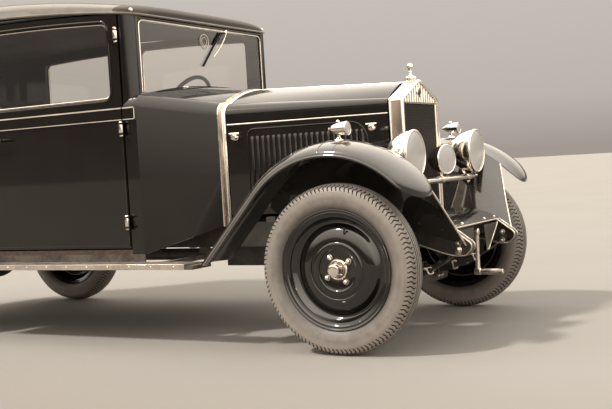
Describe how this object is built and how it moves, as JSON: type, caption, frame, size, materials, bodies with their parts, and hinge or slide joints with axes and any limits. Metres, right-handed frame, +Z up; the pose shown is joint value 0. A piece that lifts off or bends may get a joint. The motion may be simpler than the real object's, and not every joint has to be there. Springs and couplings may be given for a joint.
{
  "type": "late 1920s two-door saloon car",
  "caption": "Vintage two-door saloon with disc wheels, separate wings, pediment radiator, opening doors and bonnet, and working steering.",
  "frame": {"origin": "middle of the car's length and width, on the ground", "axes": "+X towards the radiator, +Y to the car's left side, +Z up"},
  "size_m": [3.988, 1.6, 1.8059],
  "materials": {
    "tyre": "dry sidewalls with dusty tread",
    "wheel_enamel": "gloss black enamel",
    "chassis_black": "satin black chassis paint",
    "engine_iron": "bare dusty iron",
    "exhaust_steel": "heat-browned steel",
    "nickel": "polished nickel plate",
    "bright_steel": "worn plated steel",
    "core_mesh": "black honeycomb",
    "body_enamel": "deep gloss enamel",
    "roof_cloth": "coated roof cloth",
    "wing_enamel": "deep gloss enamel, dusty",
    "glass": "flat clear glass",
    "lens_glass": "fluted lens glass",
    "board_rubber": "ribbed rubber mat",
    "floor_wood": "dark boards",
    "dash_wood": "varnished walnut",
    "wheel_bakelite": "polished black",
    "seat_leather": "worn brown hide"
  },
  "bodies": {
    "chassis": {"tyre_spare": "tyre", "wheel_spare": "wheel_enamel", "front_axle": "chassis_black", "rear_axle": "chassis_black", "leaf_springs": "chassis_black", "frame_rails": "chassis_black", "cross_members": "chassis_black", "driveline": "chassis_black", "fuel_tank": "chassis_black", "engine_block": "engine_iron", "exhaust": "exhaust_steel", "radiator_shell": "nickel", "lamps": "nickel", "starting_handle": "bright_steel", "radiator_core": "core_mesh", "scuttle": "body_enamel", "windscreen_frame": "body_enamel", "quarter_panels": "body_enamel", "tail_panel": "body_enamel", "front_apron": "body_enamel", "roof": "roof_cloth", "front_wings": "wing_enamel", "rear_wings": "wing_enamel", "fixed_glass": "glass", "lenses": "lens_glass", "running_boards": "board_rubber", "floor": "floor_wood", "dashboard": "dash_wood", "front_cushions": "seat_leather", "front_backs": "seat_leather", "rear_cushion": "seat_leather", "rear_back": "seat_leather"},
    "knuckle_right": {"knuckle_right": "chassis_black"},
    "knuckle_left": {"knuckle_left": "chassis_black"},
    "track_rod": {"track_rod": "chassis_black"},
    "wheel_front_right": {"tyre_front_right": "tyre", "wheel_front_right": "wheel_enamel"},
    "wheel_front_left": {"tyre_front_left": "tyre", "wheel_front_left": "wheel_enamel"},
    "wheel_rear_right": {"tyre_rear_right": "tyre", "wheel_rear_right": "wheel_enamel"},
    "wheel_rear_left": {"tyre_rear_left": "tyre", "wheel_rear_left": "wheel_enamel"},
    "door_right": {"door_right": "body_enamel", "door_glass_right": "glass"},
    "door_left": {"door_left": "body_enamel", "door_glass_left": "glass"},
    "bonnet_top_right": {"bonnet_top_right": "body_enamel"},
    "bonnet_top_left": {"bonnet_top_left": "body_enamel"},
    "bonnet_side_right": {"bonnet_side_right": "body_enamel"},
    "bonnet_side_left": {"bonnet_side_left": "body_enamel"},
    "steering_wheel": {"steering_wheel": "wheel_bakelite"}
  },
  "joints": [
    {"name": "steer_right", "type": "hinge", "parent": "chassis", "child": "knuckle_right", "pos_m": [1.509, -0.6, 0.373], "axis": [0, 0, 1], "range_deg": [-30, 30]},
    {"name": "steer_left", "type": "hinge", "parent": "chassis", "child": "knuckle_left", "pos_m": [1.509, 0.6, 0.373], "axis": [0, 0, 1], "range_deg": [-30, 30]},
    {"name": "track_rod_swing", "type": "hinge", "parent": "knuckle_right", "child": "track_rod", "pos_m": [1.379, -0.6, 0.352], "axis": [0, 0, 1], "range_deg": [-30, 30]},
    {"name": "steering_wheel_turn", "type": "hinge", "parent": "chassis", "child": "steering_wheel", "pos_m": [-0.011, 0.339, 1.2], "axis": [-0.8707, 0, 0.4919], "range_deg": [-300, 300]},
    {"name": "door_right_swing", "type": "hinge", "parent": "chassis", "child": "door_right", "pos_m": [0.319, -0.674, 1.06], "axis": [0, 0, 1], "range_deg": [0, 70]},
    {"name": "door_left_swing", "type": "hinge", "parent": "chassis", "child": "door_left", "pos_m": [0.319, 0.674, 1.06], "axis": [0, 0, -1], "range_deg": [0, 70]},
    {"name": "bonnet_right_lift", "type": "hinge", "parent": "chassis", "child": "bonnet_top_right", "pos_m": [0.727, 0, 1.23375], "axis": [-0.9991, 0, 0.0423], "range_deg": [0, 55]},
    {"name": "bonnet_left_lift", "type": "hinge", "parent": "chassis", "child": "bonnet_top_left", "pos_m": [0.727, 0, 1.23375], "axis": [0.9991, 0, -0.0423], "range_deg": [0, 55]},
    {"name": "bonnet_right_fold", "type": "hinge", "parent": "bonnet_top_right", "child": "bonnet_side_right", "pos_m": [0.727, -0.353, 1.05], "axis": [-0.9863, -0.1648, 0], "range_deg": [-40, 0]},
    {"name": "bonnet_left_fold", "type": "hinge", "parent": "bonnet_top_left", "child": "bonnet_side_left", "pos_m": [0.727, 0.353, 1.05], "axis": [0.9863, -0.1648, 0], "range_deg": [-40, 0]},
    {"name": "wheel_front_right_spin", "type": "hinge", "parent": "knuckle_right", "child": "wheel_front_right", "pos_m": [1.509, -0.71, 0.373], "axis": [0, 1, 0], "continuous": true},
    {"name": "wheel_rear_right_spin", "type": "hinge", "parent": "chassis", "child": "wheel_rear_right", "pos_m": [-1.291, -0.71, 0.373], "axis": [0, 1, 0], "continuous": true},
    {"name": "wheel_front_left_spin", "type": "hinge", "parent": "knuckle_left", "child": "wheel_front_left", "pos_m": [1.509, 0.71, 0.373], "axis": [0, 1, 0], "continuous": true},
    {"name": "wheel_rear_left_spin", "type": "hinge", "parent": "chassis", "child": "wheel_rear_left", "pos_m": [-1.291, 0.71, 0.373], "axis": [0, 1, 0], "continuous": true}
  ],
  "couplings": [
    {"joint": "steer_left", "follows": "steer_right", "ratio": 1},
    {"joint": "track_rod_swing", "follows": "steer_right", "ratio": -1},
    {"joint": "steering_wheel_turn", "follows": "steer_right", "ratio": 10},
    {"joint": "bonnet_right_fold", "follows": "bonnet_right_lift", "ratio": -0.7},
    {"joint": "bonnet_left_fold", "follows": "bonnet_left_lift", "ratio": -0.7}
  ]
}
